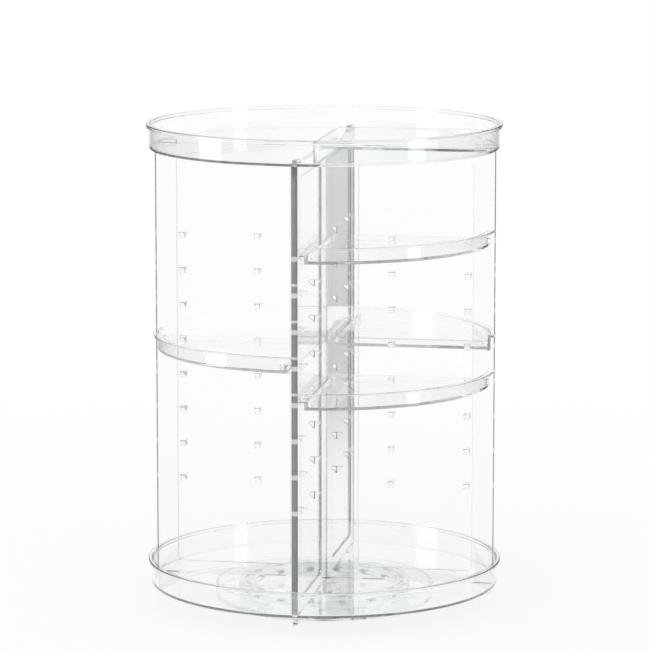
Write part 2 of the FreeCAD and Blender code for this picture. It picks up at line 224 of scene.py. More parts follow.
def trace(name: str, points: Sequence[Vector]) -> Object:
    """Trace a closed outline by drawing one point along it, and fill it.

    Args:
        name: name of the new object.
        points: corners in order, all in one plane.

    Returns:
        The outline as one flat face.
    """
    bpy.ops.object.select_all(action="DESELECT")
    bpy.ops.mesh.primitive_plane_add(size=OVERLAP, location=points[0])
    piece = bpy.context.object
    piece.name = name
    bpy.ops.object.transform_apply(location=True)
    with editing(piece, everything=True):
        bpy.ops.mesh.merge(type="CENTER")
        for here, there in zip(points, (*points[1:], points[0])):
            bpy.ops.mesh.extrude_vertices_move(TRANSFORM_OT_translate={"value": there - here})
        bpy.ops.mesh.select_all(action="SELECT")
        bpy.ops.mesh.remove_doubles(threshold=MERGE)
        bpy.ops.mesh.select_all(action="SELECT")
        bpy.ops.mesh.edge_face_add()
    return piece


def trace_section(name: str, corners: Sequence[Corner]) -> Object:
    """Trace a turned part's section in the XZ plane and round its corners.

    Args:
        name: name of the new object.
        corners: the section's corners in order, each with its rounding.

    Returns:
        The section as one flat face.
    """
    section = trace(name, [Vector((c.r, 0, c.z)) for c in corners])
    with editing(section):
        for rounding in sorted({c.rounding for c in corners if c.rounding > 0}):
            places = [Vector((c.r, 0, c.z)) for c in corners if c.rounding == rounding]
            pick_points(section, lambda p: any((p - q).length < MERGE for q in places))
            bpy.ops.mesh.bevel(offset=rounding, segments=FILLET_FACETS, affect="VERTICES")
    return section


def raise_prism(outline: Object, height: float) -> Object:
    """Extrude a filled level outline upwards into a closed prism.

    Args:
        outline: the outline, which becomes the prism.
        height: how far it rises.

    Returns:
        The prism.
    """
    with editing(outline, everything=True):
        bpy.ops.mesh.extrude_region_move(TRANSFORM_OT_translate={"value": (0, 0, height)})
        close_up()
    return outline


def block(name: str, low: Vector, high: Vector) -> Object:
    """Box between two corners, as stock for a cut or a part that is shaped further.

    Args:
        name: name of the new object.
        low: its lowest corner.
        high: its highest corner.

    Returns:
        The box.
    """
    bpy.ops.object.select_all(action="DESELECT")
    bpy.ops.mesh.primitive_cube_add(size=1, location=(low + high) / 2, scale=high - low)
    piece = bpy.context.object
    piece.name = name
    bpy.ops.object.transform_apply(location=True, scale=True)
    return piece


def rod(name: str, radius: float, low: Vector, height: float) -> Object:
    """Upright cylinder that stands on a point, as stock for a cut.

    Args:
        name: name of the new object.
        radius: its radius.
        low: middle of its underside.
        height: its height.

    Returns:
        The cylinder.
    """
    bpy.ops.object.select_all(action="DESELECT")
    middle = low + Vector((0, 0, height / 2))
    bpy.ops.mesh.primitive_cylinder_add(vertices=ROD_FACETS, radius=radius, depth=height, location=middle)
    piece = bpy.context.object
    piece.name = name
    bpy.ops.object.transform_apply(location=True)
    return piece


def turn(piece: Object, degrees: float) -> Object:
    """Turn a piece about the object's axis and keep its object unturned.

    Args:
        piece: the piece to turn.
        degrees: angle, anticlockwise seen from above.

    Returns:
        The same piece.
    """
    pick_only(piece)
    piece.rotation_euler.z = math.radians(degrees)
    bpy.ops.object.transform_apply(rotation=True)
    return piece


def spin_round(section: Object) -> Object:
    """Spin a section a full turn about the object's axis into a closed solid.

    Args:
        section: flat section in the XZ plane, which becomes the solid.

    Returns:
        The solid.
    """
    with editing(section, everything=True):
        bpy.ops.mesh.delete(type="ONLY_FACE")
        pick_edges(section, lambda a, b: abs(a.x) < MERGE and abs(b.x) < MERGE)
        bpy.ops.mesh.delete(type="EDGE")
        bpy.ops.mesh.select_all(action="SELECT")
        bpy.ops.mesh.spin(steps=ROUND_FACETS, angle=math.tau, center=(0, 0, 0), axis=(0, 0, 1))
        close_up()
    return section


def spin_part(section: Object, start: float, sweep: float, facets: int) -> Object:
    """Spin a filled section part of a turn, from one angle over a sweep, both in radians.

    Args:
        section: filled section in the XZ plane, which becomes the solid.
        start: angle of its first end.
        sweep: angle between its two ends.
        facets: number of steps.

    Returns:
        The solid.
    """
    turn(section, math.degrees(start))
    with editing(section, everything=True):
        bpy.ops.mesh.spin(steps=facets, angle=-sweep, center=(0, 0, 0), axis=(0, 0, 1))
        close_up()
    return section


def copy_turned(piece: Object, name: str, degrees: float) -> Object:
    """Copy a piece with its own mesh, turned about the object's axis.

    Args:
        piece: the piece to copy.
        name: the copy's name.
        degrees: angle that the copy is turned by.

    Returns:
        The copy.
    """
    pick_only(piece)
    bpy.ops.object.duplicate()
    twin = bpy.context.object
    twin.name = name
    return turn(twin, degrees)


def shift(piece: Object, move: Vector) -> Object:
    """Move a piece and keep its object at the origin.

    Args:
        piece: the piece to move.
        move: how far it goes.

    Returns:
        The same piece.
    """
    pick_only(piece)
    piece.location = move
    bpy.ops.object.transform_apply(location=True)
    return piece


def gather(pieces: Sequence[Object]) -> Object:
    """Join objects into the first of them.

    Args:
        pieces: the objects, with their meshes as they are.

    Returns:
        The first object, now with every mesh.
    """
    pick_only(*pieces)
    if len(pieces) > 1:
        bpy.ops.object.join()
    return pieces[0]


def weld(piece: Object, tools: Sequence[Object], how: Weld) -> None:
    """Join or cut a solid with others, which are used up.

    Args:
        piece: the solid that stays.
        tools: closed solids to act on it with.
        how: join or cut.
    """
    tool = gather(tools)
    modifier = piece.modifiers.new(how.name, "BOOLEAN")
    modifier.operation = how.value
    modifier.solver = "EXACT"
    modifier.object = tool
    pick_only(piece)
    bpy.ops.object.modifier_apply(modifier=modifier.name)
    bpy.data.objects.remove(tool)
    with editing(piece):
        close_up()


def round_edges(piece: Object, edge_radius: float) -> Object:
    """Give a closed solid the small edge radius of its mould.

    Args:
        piece: the solid.
        edge_radius: radius of its sharp edges.

    Returns:
        The same solid.
    """
    with editing(piece, everything=True):
        bpy.ops.mesh.dissolve_limited(angle_limit=FLAT_ANGLE)
    pick_only(piece)
    edges = piece.modifiers.new("edge radius", "BEVEL")
    edges.width = edge_radius
    edges.segments = EDGE_FACETS
    edges.limit_method = "ANGLE"
    edges.angle_limit = EDGE_ANGLE
    bpy.ops.object.modifier_apply(modifier=edges.name)
    return piece


def shade(piece: Object) -> Object:
    """Shade rounded parts smooth, and keep flat faces flat and corners sharp.

    Args:
        piece: the solid.

    Returns:
        The same solid.
    """
    pick_only(piece)
    bpy.ops.object.shade_smooth_by_angle(angle=CREASE_ANGLE)
    flats = piece.modifiers.new("flat faces stay flat", "WEIGHTED_NORMAL")
    flats.keep_sharp = True
    bpy.ops.object.modifier_apply(modifier=flats.name)
    return piece


def mount(piece: Object, body: str, node: str) -> None:
    """Put a finished piece on its body in place of a frame node, and report it.

    Args:
        piece: the finished piece.
        body: name of the moving body that it rides on.
        node: name of the frame node that it replaces.
    """
    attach(piece, body)
    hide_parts(node)
    mesh = bmesh.new()
    mesh.from_mesh(piece.data)
    leaks = sum(1 for edge in mesh.edges if len(edge.link_faces) != 2)
    triangles = sum(len(face.verts) - 2 for face in mesh.faces)
    log.info("%s: %d triangles, %d open edges, volume %.2f cm3",
             piece.name, triangles, leaks, mesh.calc_volume() * CM3_PER_M3)
    mesh.free()


def arc(centre: Vector, radius: float, start: float, end: float, facets: int) -> list[Vector]:
    """Points along a level arc, both ends included; angles in radians.

    Args:
        centre: middle of the arc.
        radius: its radius.
        start: angle of its first point.
        end: angle of its last point.
        facets: number of steps.

    Returns:
        The points in order.
    """
    angles = [start + (end - start) * i / facets for i in range(facets + 1)]
    return [centre + Vector((radius * math.cos(a), radius * math.sin(a), 0)) for a in angles]


def quarter_outline(side: float, radius: float, z: float, near: float, far: float) -> list[Vector]:
    """Outline of the quarter of +X and +Y, set in from both divider planes.

    Args:
        side: distance of the two straight sides from the divider planes.
        radius: radius of the curved side about the axis.
        z: height of the outline.
        near: rounding of the corner next to the axis.
        far: rounding of the two corners at the curved side, or 0.

    Returns:
        Points in order, anticlockwise seen from above.
    """
    if far > 0:
        middle = Vector((math.sqrt((radius - far) ** 2 - (side + far) ** 2), side + far, z))
        sweep = math.atan2(middle.y, middle.x)
        corner = arc(middle, far, -math.pi / 2, sweep, OUTLINE_FACETS)
    else:
        corner = [Vector((math.sqrt(radius**2 - side**2), side, z))]
        sweep = math.atan2(corner[0].y, corner[0].x)
    step = math.tau / ROUND_FACETS
    grid = [step * i for i in range(1, ROUND_FACETS // 4)]
    inside = [a for a in grid if sweep + step / 4 < a < math.pi / 2 - sweep - step / 4]
    rim = [Vector((radius * math.cos(a), radius * math.sin(a), z)) for a in inside]
    mirrored = [Vector((p.y, p.x, z)) for p in reversed(corner)]
    point = Vector((side + near, side + near, z))
    return corner + rim + mirrored + arc(point, near, -math.pi, -math.pi / 2, OUTLINE_FACETS)


# ------------------------------------------------------------------ materials
def linear(hex_colour: str) -> tuple[float, float, float, float]:
    """sRGB hex colour as linear RGBA.

    Args:
        hex_colour: colour as #rrggbb.

    Returns:
        Red, green, blue and alpha from 0 to 1.
    """
    parts = [int(hex_colour[i:i + 2], 16) / 255 for i in (1, 3, 5)]
    straight = [c / 12.92 if c <= 0.04045 else ((c + 0.055) / 1.055) ** 2.4 for c in parts]
    return (*straight, 1.0)


def add_node(tree: NodeTree, kind: str, links: dict[str, object] | None = None, **settings: object) -> Node:
    """Add a node with its settings and what feeds its sockets.

    Args:
        tree: the node tree that it joins.
        kind: the node's type name.
        links: socket name or number to an output socket that feeds it or a constant value.
        **settings: attributes of the node itself.

    Returns:
        The new node.
    """
    node = tree.nodes.new(kind)
    for name, value in settings.items():
        setattr(node, name, value)
    for name, value in (links or {}).items():
        if isinstance(value, NodeSocket):
            tree.links.new(value, node.inputs[name])
        else:
            node.inputs[name].default_value = value
    return node


def new_material(name: str) -> tuple[Material, NodeTree, Node, NodeSocket]:
    """Empty node material with its output node and the object coordinates.

    Args:
        name: the material's name.

    Returns:
        The material, its tree, its output node and the coordinates' socket.
    """
    material = bpy.data.materials.new(name)
    material.use_nodes = True
    tree = material.node_tree
    tree.nodes.clear()
    output = add_node(tree, "ShaderNodeOutputMaterial")
    place = add_node(tree, "ShaderNodeTexCoord").outputs["Object"]
    return material, tree, output, place


def per_metre(size_mm: float) -> float:
    """Texture scale that makes one cell of a pattern about this many millimetres."""
    return 1000 / size_mm


def noise(tree: NodeTree, place: NodeSocket, size_mm: float, detail: float, **more: float) -> NodeSocket:
    """Cloudy pattern from 0 to 1 whose clouds are about so many millimetres across."""
    sockets = {"Vector": place, "Scale": per_metre(size_mm), "Detail": detail, **more}
    return add_node(tree, "ShaderNodeTexNoise", sockets).outputs["Fac"]


def spread(tree: NodeTree, value: NodeSocket, to: tuple[float, float],
           from_: tuple[float, float] = (0.0, 1.0), **settings: str) -> NodeSocket:
    """A value's range laid over another one."""
    sockets = {"Value": value, "From Min": from_[0], "From Max": from_[1], "To Min": to[0], "To Max": to[1]}
    return add_node(tree, "ShaderNodeMapRange", sockets, **settings).outputs["Result"]


def relief(tree: NodeTree, height: NodeSocket, depth_mm: float, strength: float) -> NodeSocket:
    """Normals of a surface whose relief is so many millimetres deep."""
    sockets = {"Height": height, "Distance": mm(depth_mm), "Strength": strength}
    return add_node(tree, "ShaderNodeBump", sockets).outputs["Normal"]


def calc(tree: NodeTree, how: str, *values: NodeSocket | float) -> NodeSocket:
    """Result of a Math node."""
    return add_node(tree, "ShaderNodeMath", dict(enumerate(values)), operation=how).outputs[0]


def blend(tree: NodeTree, factor: NodeSocket, first: object, second: object) -> NodeSocket:
    """Colour between two, each a socket or a constant."""
    # the node's colour sockets share their names with its other ones, so they go by number
    sockets = {"Factor": factor, 6: first, 7: second}
    return add_node(tree, "ShaderNodeMix", sockets, data_type="RGBA").outputs[2]


@dataclass(frozen=True)
class ClearStyrene:
    """General-purpose polystyrene, injection moulded in a polished tool.

    Clear and colourless with glassy reflections. The melt leaves the faces very slightly wavy, so
    reflections wander, and light that runs a long way inside comes out grey at the edges.
    """

    name: str = "clear moulded polystyrene"
    tint: str = "#feffff"
    edge_tint: str = "#6f7374"
    loss_per_metre: float = 8.0
    ior: float = 1.53
    roughness: tuple[float, float] = (0.004, 0.03)
    wave_mm: float = 42.0
    wave_roughness: float = 0.4
    wave_detail: float = 1.0
    wave_height_mm: float = 0.015
    wave_strength: float = 1.0
    haze_mm: float = 9.0
    haze_detail: float = 3.0
    haze_range: tuple[float, float] = (0.45, 0.75)

    def skin(self, tree: NodeTree, place: NodeSocket, clear: NodeSocket) -> NodeSocket:
        """Finished surface, given the clear one and the object coordinates."""
        return clear

    def make(self) -> Material:
        """Build the node material.

        Returns:
            The material.
        """
        material, tree, output, place = new_material(self.name)
        waves = noise(tree, place, self.wave_mm, self.wave_detail, Roughness=self.wave_roughness)
        haze = noise(tree, place, self.haze_mm, self.haze_detail)
        shader = add_node(tree, "ShaderNodeBsdfPrincipled", {
            "Base Color": linear(self.tint), "IOR": self.ior, "Transmission Weight": 1.0,
            "Roughness": spread(tree, haze, self.roughness, self.haze_range),
            "Normal": relief(tree, waves, self.wave_height_mm, self.wave_strength)})
        inside = add_node(tree, "ShaderNodeVolumeAbsorption", {
            "Color": linear(self.edge_tint), "Density": self.loss_per_metre})
        tree.links.new(self.skin(tree, place, shader.outputs["BSDF"]), output.inputs["Surface"])
        tree.links.new(inside.outputs["Volume"], output.inputs["Volume"])
        return material


class BarRow(NamedTuple):
    """Row of level bars: lowest one's height and half a bar's thickness in mm, and their number."""

    first: float
    count: int
    half: float


@dataclass(frozen=True)
class GroundEndStyreneWithPaintedShadeAndLight(ClearStyrene):
    """Clear polystyrene whose outer ends are ground flat and satin, coloured with painted shade and light.

    The ends are all that lies farther from the turning axis than a radius. Fine marks of the
    belt run across them. Their grey base colour is partly the satin of the grinding and partly
    painted shade for the dark of light that runs the panel's length. The light that each nub and
    the bottom tray's wall up to its rim send into the panel is painted on as a lighter base
    colour: a painted bar in the end at each nub, and the whole end below the rim.
    """

    name: str = "clear moulded polystyrene with ground ends"
    ground_beyond_mm: float = 113.25
    # height below which the end is painted lighter, as painted light from the bottom tray's wall
    painted_light_below_mm: float = 30.0
    # base greys of the ground ends: partly the satin finish, partly painted shade of the light lost along the
    # panel
    grey: tuple[str, str] = ("#7a7d7f", "#929496")
    # painted light: the lighter base colour of the nub bars and of the end below the rim
    lit: str = "#f0f2f3"
    bar_pitch_mm: float = 23.4
    # rows of painted light bars at the nubs' heights
    wide_painted_light_bars: BarRow = BarRow(80.9, 8, 1.5)
    narrow_painted_light_bars: BarRow = BarRow(157.9, 4, 0.75)
    bar_blur_mm: float = 0.45
    ground_roughness: float = 0.38
    mark_mm: float = 0.5
    mark_detail: float = 2.0
    mark_stretch: float = 0.1
    mark_depth_mm: float = 0.02
    mark_strength: float = 0.5
    clear_share: float = 0.5

    def bars(self, tree: NodeTree, height: NodeSocket, row: BarRow) -> NodeSocket:
        """Factor that is 1 on a row of level bars of painted light.

        Args:
            tree: the material's node tree.
            height: height in metres.
            row: the bars' places and thickness.

        Returns:
            The factor.
        """
        off = calc(tree, "PINGPONG", calc(tree, "SUBTRACT", height, mm(row.first)), mm(self.bar_pitch_mm / 2))
        edge = (mm(row.half - self.bar_blur_mm), mm(row.half + self.bar_blur_mm))
        span = self.bar_pitch_mm * (row.count - 1) / 2
        inside = calc(tree, "COMPARE", height, mm(row.first + span), mm(span + self.bar_pitch_mm / 4))
        return calc(tree, "MULTIPLY", spread(tree, off, (1.0, 0.0), edge), inside)

    def skin(self, tree: NodeTree, place: NodeSocket, clear: NodeSocket) -> NodeSocket:
        """Clear surface with the ground one beyond the radius, coloured with painted shade and light.

        Args:
            tree: the material's node tree.
            place: object coordinates.
            clear: the clear surface.

        Returns:
            The surface of both.
        """
        flat = add_node(tree, "ShaderNodeVectorMath", {0: place, 1: (1, 1, 0)}, operation="MULTIPLY")
        reach = add_node(tree, "ShaderNodeVectorMath", {0: flat.outputs["Vector"]}, operation="LENGTH")
        beyond = calc(tree, "GREATER_THAN", reach.outputs["Value"], mm(self.ground_beyond_mm))
        height = add_node(tree, "ShaderNodeSeparateXYZ", {"Vector": place}).outputs["Z"]
        # painted light: the end is lighter below the bottom tray's rim
        low = calc(tree, "LESS_THAN", height, mm(self.painted_light_below_mm))
        # painted light: a lighter bar in the end at each nub
        painted_bar_factors = [self.bars(tree, height, row) for row in (self.wide_painted_light_bars, self.narrow_painted_light_bars)]
        painted_light_mask = calc(tree, "MAXIMUM", low, calc(tree, "MAXIMUM", *painted_bar_factors))
        along = add_node(tree, "ShaderNodeMapping", {
            "Vector": place, "Scale": (self.mark_stretch, self.mark_stretch, 1)})
        marks = noise(tree, along.outputs["Vector"], self.mark_mm, self.mark_detail)
        # grey base colour: the satin of the grinding with its belt marks, and painted shade
        grey = blend(tree, marks, linear(self.grey[0]), linear(self.grey[1]))
        # painted light: the base colour rises from the grey to the lit colour on the bars and below the rim
        ground = add_node(tree, "ShaderNodeBsdfPrincipled", {
            "Base Color": blend(tree, painted_light_mask, grey, linear(self.lit)), "Roughness": self.ground_roughness,
            "IOR": self.ior, "Transmission Weight": self.clear_share,
            "Normal": relief(tree, marks, self.mark_depth_mm, self.mark_strength)})
        mixed = add_node(tree, "ShaderNodeMixShader", {0: beyond, 1: clear, 2: ground.outputs["BSDF"]})
        return mixed.outputs["Shader"]


@dataclass(frozen=True)
class NaturalAcetal:
    """Acetal balls, ground and tumbled: milky white with a soft waxy shine."""

    name: str = "natural acetal"
    tint: str = "#eeeeea"
    ior: float = 1.48
    milk: float = 0.25
    milk_mm: float = 1.5
    roughness: tuple[float, float] = (0.22, 0.38)
    grain_mm: float = 0.6
    grain_detail: float = 4.0
    grain_depth_mm: float = 0.01
    grain_strength: float = 0.5

    def make(self) -> Material:
        """Build the node material.

        Returns:
            The material.
        """
        material, tree, output, place = new_material(self.name)
        grain = noise(tree, place, self.grain_mm, self.grain_detail)
        shader = add_node(tree, "ShaderNodeBsdfPrincipled", {
            "Base Color": linear(self.tint), "Roughness": spread(tree, grain, self.roughness),
            "IOR": self.ior, "Subsurface Weight": self.milk, "Subsurface Scale": mm(self.milk_mm),
            "Normal": relief(tree, grain, self.grain_depth_mm, self.grain_strength)})
        tree.links.new(shader.outputs["BSDF"], output.inputs["Surface"])
        return material


@dataclass(frozen=True)
class ZincPlatedSteel:
    """Zinc-plated steel, turned then plated: bluish grey, fine rings from the lathe."""

    name: str = "zinc-plated steel"
    tint: str = "#b9bcc0"
    dark: str = "#8f9397"
    roughness: tuple[float, float] = (0.26, 0.42)
    ring_mm: float = 0.35
    ring_depth_mm: float = 0.02
    ring_strength: float = 0.4
    ring_distortion: float = 0.6
    cloud_mm: float = 3.0
    cloud_detail: float = 3.0

    def make(self) -> Material:
        """Build the node material.

        Returns:
            The material.
        """
        material, tree, output, place = new_material(self.name)
        rings = add_node(tree, "ShaderNodeTexWave", {
            "Vector": place, "Scale": per_metre(self.ring_mm) / math.tau,
            "Distortion": self.ring_distortion}, wave_type="RINGS", rings_direction="Z")
        clouds = noise(tree, place, self.cloud_mm, self.cloud_detail)
        shader = add_node(tree, "ShaderNodeBsdfPrincipled", {
            "Base Color": blend(tree, clouds, linear(self.tint), linear(self.dark)),
            "Roughness": spread(tree, clouds, self.roughness), "Metallic": 1.0,
            "Normal": relief(tree, rings.outputs["Fac"], self.ring_depth_mm, self.ring_strength)})
        tree.links.new(shader.outputs["BSDF"], output.inputs["Surface"])
        return material


@dataclass(frozen=True)
class ClearBumperRubber:
    """Cast polyurethane bumper: clear, soft, with a fine satin skin that blurs what is behind."""

    name: str = "clear cast polyurethane"
    tint: str = "#e9edee"
    ior: float = 1.48
    clear_share: float = 0.85
    roughness: tuple[float, float] = (0.28, 0.4)
    skin_mm: float = 0.5
    skin_detail: float = 3.0
    skin_depth_mm: float = 0.02
    skin_strength: float = 0.4

    def make(self) -> Material:
        """Build the node material.

        Returns:
            The material.
        """
        material, tree, output, place = new_material(self.name)
        skin = noise(tree, place, self.skin_mm, self.skin_detail)
        shader = add_node(tree, "ShaderNodeBsdfPrincipled", {
            "Base Color": linear(self.tint), "Roughness": spread(tree, skin, self.roughness),
            "IOR": self.ior, "Transmission Weight": self.clear_share,
            "Normal": relief(tree, skin, self.skin_depth_mm, self.skin_strength)})
        tree.links.new(shader.outputs["BSDF"], output.inputs["Surface"])
        return material


@dataclass
class Finishes:
    """Every finish of the object, made once."""

    clear: Material = field(default_factory=lambda: ClearStyrene().make())
    pale: Material = field(default_factory=lambda: ClearStyrene(
        name="clear moulded polystyrene of the turntable", loss_per_metre=2.0).make())
    # divider ends: ground satin finish with painted shade and painted light
    ground: Material = field(default_factory=lambda: GroundEndStyreneWithPaintedShadeAndLight().make())
    ball: Material = field(default_factory=lambda: NaturalAcetal().make())
    steel: Material = field(default_factory=lambda: ZincPlatedSteel().make())
    bumper: Material = field(default_factory=lambda: ClearBumperRubber().make())

    def coat(self, piece: Object, material: Material) -> None:
        """Give a piece, or a frame node, one finish all over.

        Args:
            piece: the piece to coat.
            material: its finish.
        """
        if not piece.material_slots:
            piece.data.materials.append(material)
        for slot in piece.material_slots:
            slot.material = material


# ------------------------------------------------------------------ round trays
@dataclass
class RoundTray:
    """Shallow round tray with a lip that turns outward and slots for the dividers' tabs."""

    node: str
    height: float = mm(16.6)
    wall: float = mm(1.5)
    floor: float = mm(1.5)
    lip_out: float = mm(2.1)
    lip_thick: float = mm(2.4)
    lip_round: float = mm(0.7)
    outer_round: float = mm(1.2)
    inner_round: float = mm(0.8)
    rim_round: float = mm(0.5)
    edge_radius: float = mm(0.18)

    @property
    def rim_z(self) -> float:
        """Height of the rim."""
        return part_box(self.node)[1].z

    @property
    def under_z(self) -> float:
        """Height of the floor's underside."""
        return self.rim_z - self.height

    @property
    def floor_z(self) -> float:
        """Height of the floor's top."""
        return self.under_z + self.floor

    @property
    def wall_r(self) -> float:
        """Outer radius of the wall."""
        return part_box(self.node)[1].x - self.lip_out

    @property
    def inner_r(self) -> float:
        """Inner radius of the wall."""
        return self.wall_r - self.wall

    def middle_corners(self) -> list[Corner]:
        """Corners at the axis, under the floor."""
        return [Corner(0, self.under_z)]

    def shell(self, name: str) -> Object:
        """Spin the tray's section into a solid.

        Args:
            name: name of the new object.

        Returns:
            The tray, without slots.
        """
        lip_r = self.wall_r + self.lip_out
        lip_z = self.rim_z - self.lip_thick
        section = trace_section(name, [
            *self.middle_corners(),
            Corner(self.wall_r, self.under_z, self.outer_round),
            Corner(self.wall_r, lip_z),
            Corner(lip_r, lip_z, self.lip_round),
            Corner(lip_r, self.rim_z, self.lip_round),
            Corner(self.inner_r, self.rim_z, self.rim_round),
            Corner(self.inner_r, self.floor_z, self.inner_round),
            Corner(0, self.floor_z),
        ])
        return spin_round(section)

    def cut_slots(self, tray: Object, tabs: Sequence["Tab"]) -> None:
        """Cut a slot for every divider's tabs through the floor.

        Args:
            tray: the tray to cut.
            tabs: the tabs that each divider has at this tray.
        """
        slots = [tab.slot(side.value, self.under_z - OVERLAP, self.floor_z + OVERLAP)
                 for tab in tabs for side in Side]
        weld(tray, slots, Weld.CUT)


@dataclass
class BottomTray(RoundTray):
    """Bottom tray with the pivot post that turns in the turntable's hub."""

    node: str = "bottom_tray"
    post_r: float = mm(5.0)
    pilot_r: float = mm(1.3)
    pilot_depth: float = mm(9.0)

    def middle_corners(self) -> list[Corner]:
        """Corners of the post and of the screw's hole in it.

        Returns:
            The corners, from the axis outwards.
        """
        end_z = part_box(self.node)[0].z
        return [
            Corner(0, end_z + self.pilot_depth),
            Corner(self.pilot_r, end_z + self.pilot_depth),
            Corner(self.pilot_r, end_z),
            Corner(self.post_r, end_z),
            Corner(self.post_r, self.under_z),
        ]

    def build(self, finishes: Finishes, tabs: Sequence["Tab"]) -> None:
        """Make the tray and put it on the carousel.

        Args:
            finishes: the finishes to choose from.
            tabs: the tabs that each divider has at this tray.
        """
        tray = self.shell("bottom_tray_shell")
        self.cut_slots(tray, tabs)
        shade(round_edges(tray, self.edge_radius))
        finishes.coat(tray, finishes.clear)
        mount(tray, Body.CAROUSEL.value, self.node)


@dataclass
class TopTray(RoundTray):
    """Top tray with a collared opening for brushes in one quarter."""

    node: str = "top_tray"
    sector: Sector = Sector.FRONT_RIGHT
    collar_side: float = mm(10.5)
    collar_moat: float = mm(3.7)
    collar_wall: float = mm(1.6)
    collar_shy: float = mm(1.7)
    collar_corner: float = mm(6.0)
    collar_top_round: float = mm(0.5)

    def collar(self) -> Object:
        """Solid block of the collar's outer shape, its top edge rounded.

        Returns:
            The block, turned to its quarter.
        """
        foot_z = self.under_z + self.floor / 2
        top_z = self.rim_z - self.collar_shy
        radius = self.inner_r - self.collar_moat
        outline = quarter_outline(self.collar_side, radius, foot_z, self.collar_corner, self.collar_corner)
        solid = raise_prism(trace("collar", outline), top_z - foot_z)
        with editing(solid):
            pick_edges(solid, lambda a, b: a.z > top_z - MERGE and b.z > top_z - MERGE)
            bpy.ops.mesh.bevel(offset=self.collar_top_round, segments=SOFT_FACETS, affect="EDGES")
        return turn(solid, self.sector.value)

    def opening(self) -> Object:
        """Cutter for the hole inside the collar.

        Returns:
            The cutter, turned to its quarter.
        """
        side = self.collar_side + self.collar_wall
        radius = self.inner_r - self.collar_moat - self.collar_wall
        corner = self.collar_corner - self.collar_wall
        outline = quarter_outline(side, radius, self.under_z - OVERLAP, corner, corner)
        solid = raise_prism(trace("opening", outline), self.height + 2 * OVERLAP)
        return turn(solid, self.sector.value)

    def build(self, finishes: Finishes, tabs: Sequence["Tab"]) -> None:
        """Make the tray and put it on the carousel.

        Args:
            finishes: the finishes to choose from.
            tabs: the tabs that each divider has at this tray.
        """
        tray = self.shell("top_tray_shell")
        self.cut_slots(tray, tabs)
        weld(tray, [self.collar()], Weld.JOIN)
        weld(tray, [self.opening()], Weld.CUT)
        shade(round_edges(tray, self.edge_radius))
        finishes.coat(tray, finishes.clear)
        mount(tray, Body.CAROUSEL.value, self.node)


# ------------------------------------------------------------------ dividers
@dataclass
class Tab:
    """A flat tab on a divider's end, with the slot that it passes through."""

    start: float
    width: float
    thick: float = mm(3.0)
    play: float = mm(0.15)

    def solid(self, low_z: float, high_z: float, play: float = 0.0) -> Object:
        """Block for the tab along +X between two heights.

        Args:
            low_z: height of its underside.
            high_z: height of its top.
            play: how much it is widened on every side.

        Returns:
            The block.
        """
        half = self.thick / 2 + play
        low = Vector((self.start - play, -half, low_z))
        return block("tab", low, Vector((self.start + self.width + play, half, high_z)))

    def slot(self, degrees: float, low_z: float, high_z: float) -> Object:
        """Cutter for the tab's slot, turned to one divider."""
        return turn(self.solid(low_z, high_z, self.play), degrees)


